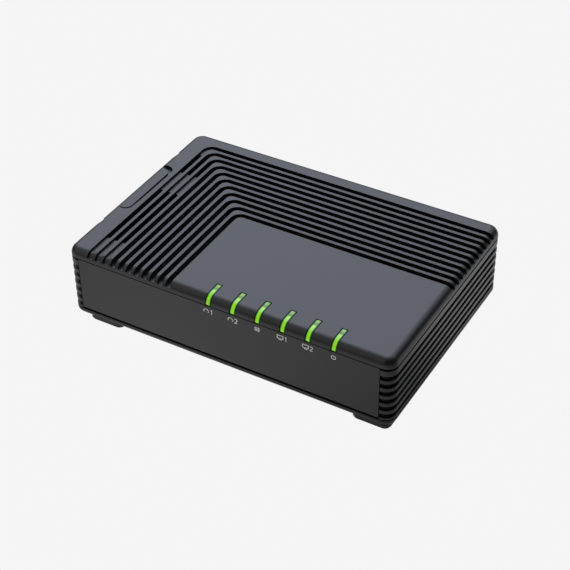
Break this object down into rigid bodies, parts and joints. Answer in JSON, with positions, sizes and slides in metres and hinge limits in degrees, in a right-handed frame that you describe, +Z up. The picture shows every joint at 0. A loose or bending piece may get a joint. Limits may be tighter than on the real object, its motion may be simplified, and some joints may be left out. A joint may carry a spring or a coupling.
{
  "type": "cable modem",
  "caption": "Low rectangular desktop cable modem with L-shaped ribs on its top, ribbed sides, a flat front with lit green light pipes, and sockets in its back.",
  "frame": {"origin": "centre of the footprint's box, coaxial connector included, on the surface that the feet stand on", "axes": "+Z up, +X along the width to the right of a person who faces the front, +Y to the back"},
  "size_m": [0.15, 0.111, 0.0354],
  "materials": {
    "cover_plastic": "fine moulded texture, satin",
    "side_plastic": "fine moulded texture, satin",
    "panel_plastic": "smooth, satin",
    "base_plastic": "fine moulded texture",
    "foot_rubber": "matte",
    "label": "blank printed film",
    "light_pipe": "clear green, lit",
    "lamp": "clear",
    "board": "solder mask over glass laminate",
    "steel": "plated",
    "chip": "moulded epoxy",
    "bare_aluminium": "extruded",
    "thermal_pad": "soft",
    "tin_plate": "tinned sheet",
    "black_plastic": "moulded",
    "can_sleeve": "shrink sleeve",
    "nickel": "nickel plate",
    "white_insulator": "moulded",
    "gold": "gold plate"
  },
  "bodies": {
    "case": {"top_cover": "cover_plastic", "housing": "side_plastic", "front_panel": "panel_plastic", "rear_panel": "panel_plastic", "base_plate": "base_plastic", "rubber_foot_1": "foot_rubber", "rubber_foot_2": "foot_rubber", "rubber_foot_3": "foot_rubber", "rubber_foot_4": "foot_rubber", "blank_label": "label", "light_pipe_1": "light_pipe", "light_pipe_2": "light_pipe", "light_pipe_3": "light_pipe", "light_pipe_4": "light_pipe", "light_pipe_5": "light_pipe", "light_pipe_6": "light_pipe", "pipe_carrier": "black_plastic", "status_leds": "lamp", "main_board": "board", "board_screws": "steel", "case_screws": "steel", "processor": "chip", "heat_sink": "bare_aluminium", "thermal_pad": "thermal_pad", "memory_chips": "chip", "tuner_shield": "tin_plate", "tuner_lid": "tin_plate", "line_transformers": "black_plastic", "capacitors": "can_sleeve", "power_inductor": "chip", "crystal": "tin_plate", "coax_shell": "nickel", "coax_insulator": "white_insulator", "coax_contact": "gold", "coax_washer": "nickel", "coax_nut": "nickel", "phone_socket_1": "black_plastic", "phone_socket_2": "black_plastic", "phone_contacts": "gold", "lan_socket_1": "black_plastic", "lan_socket_2": "black_plastic", "lan_contacts": "gold", "dc_jack": "black_plastic", "dc_pin": "nickel", "reset_switch": "black_plastic"},
    "reset": {"reset_button": "black_plastic"}
  },
  "joints": [
    {"name": "reset_press", "type": "slide", "parent": "case", "child": "reset", "axis": [0, -1, 0], "range_m": [0, 0.0006], "stiffness_N_per_m": 500}
  ]
}
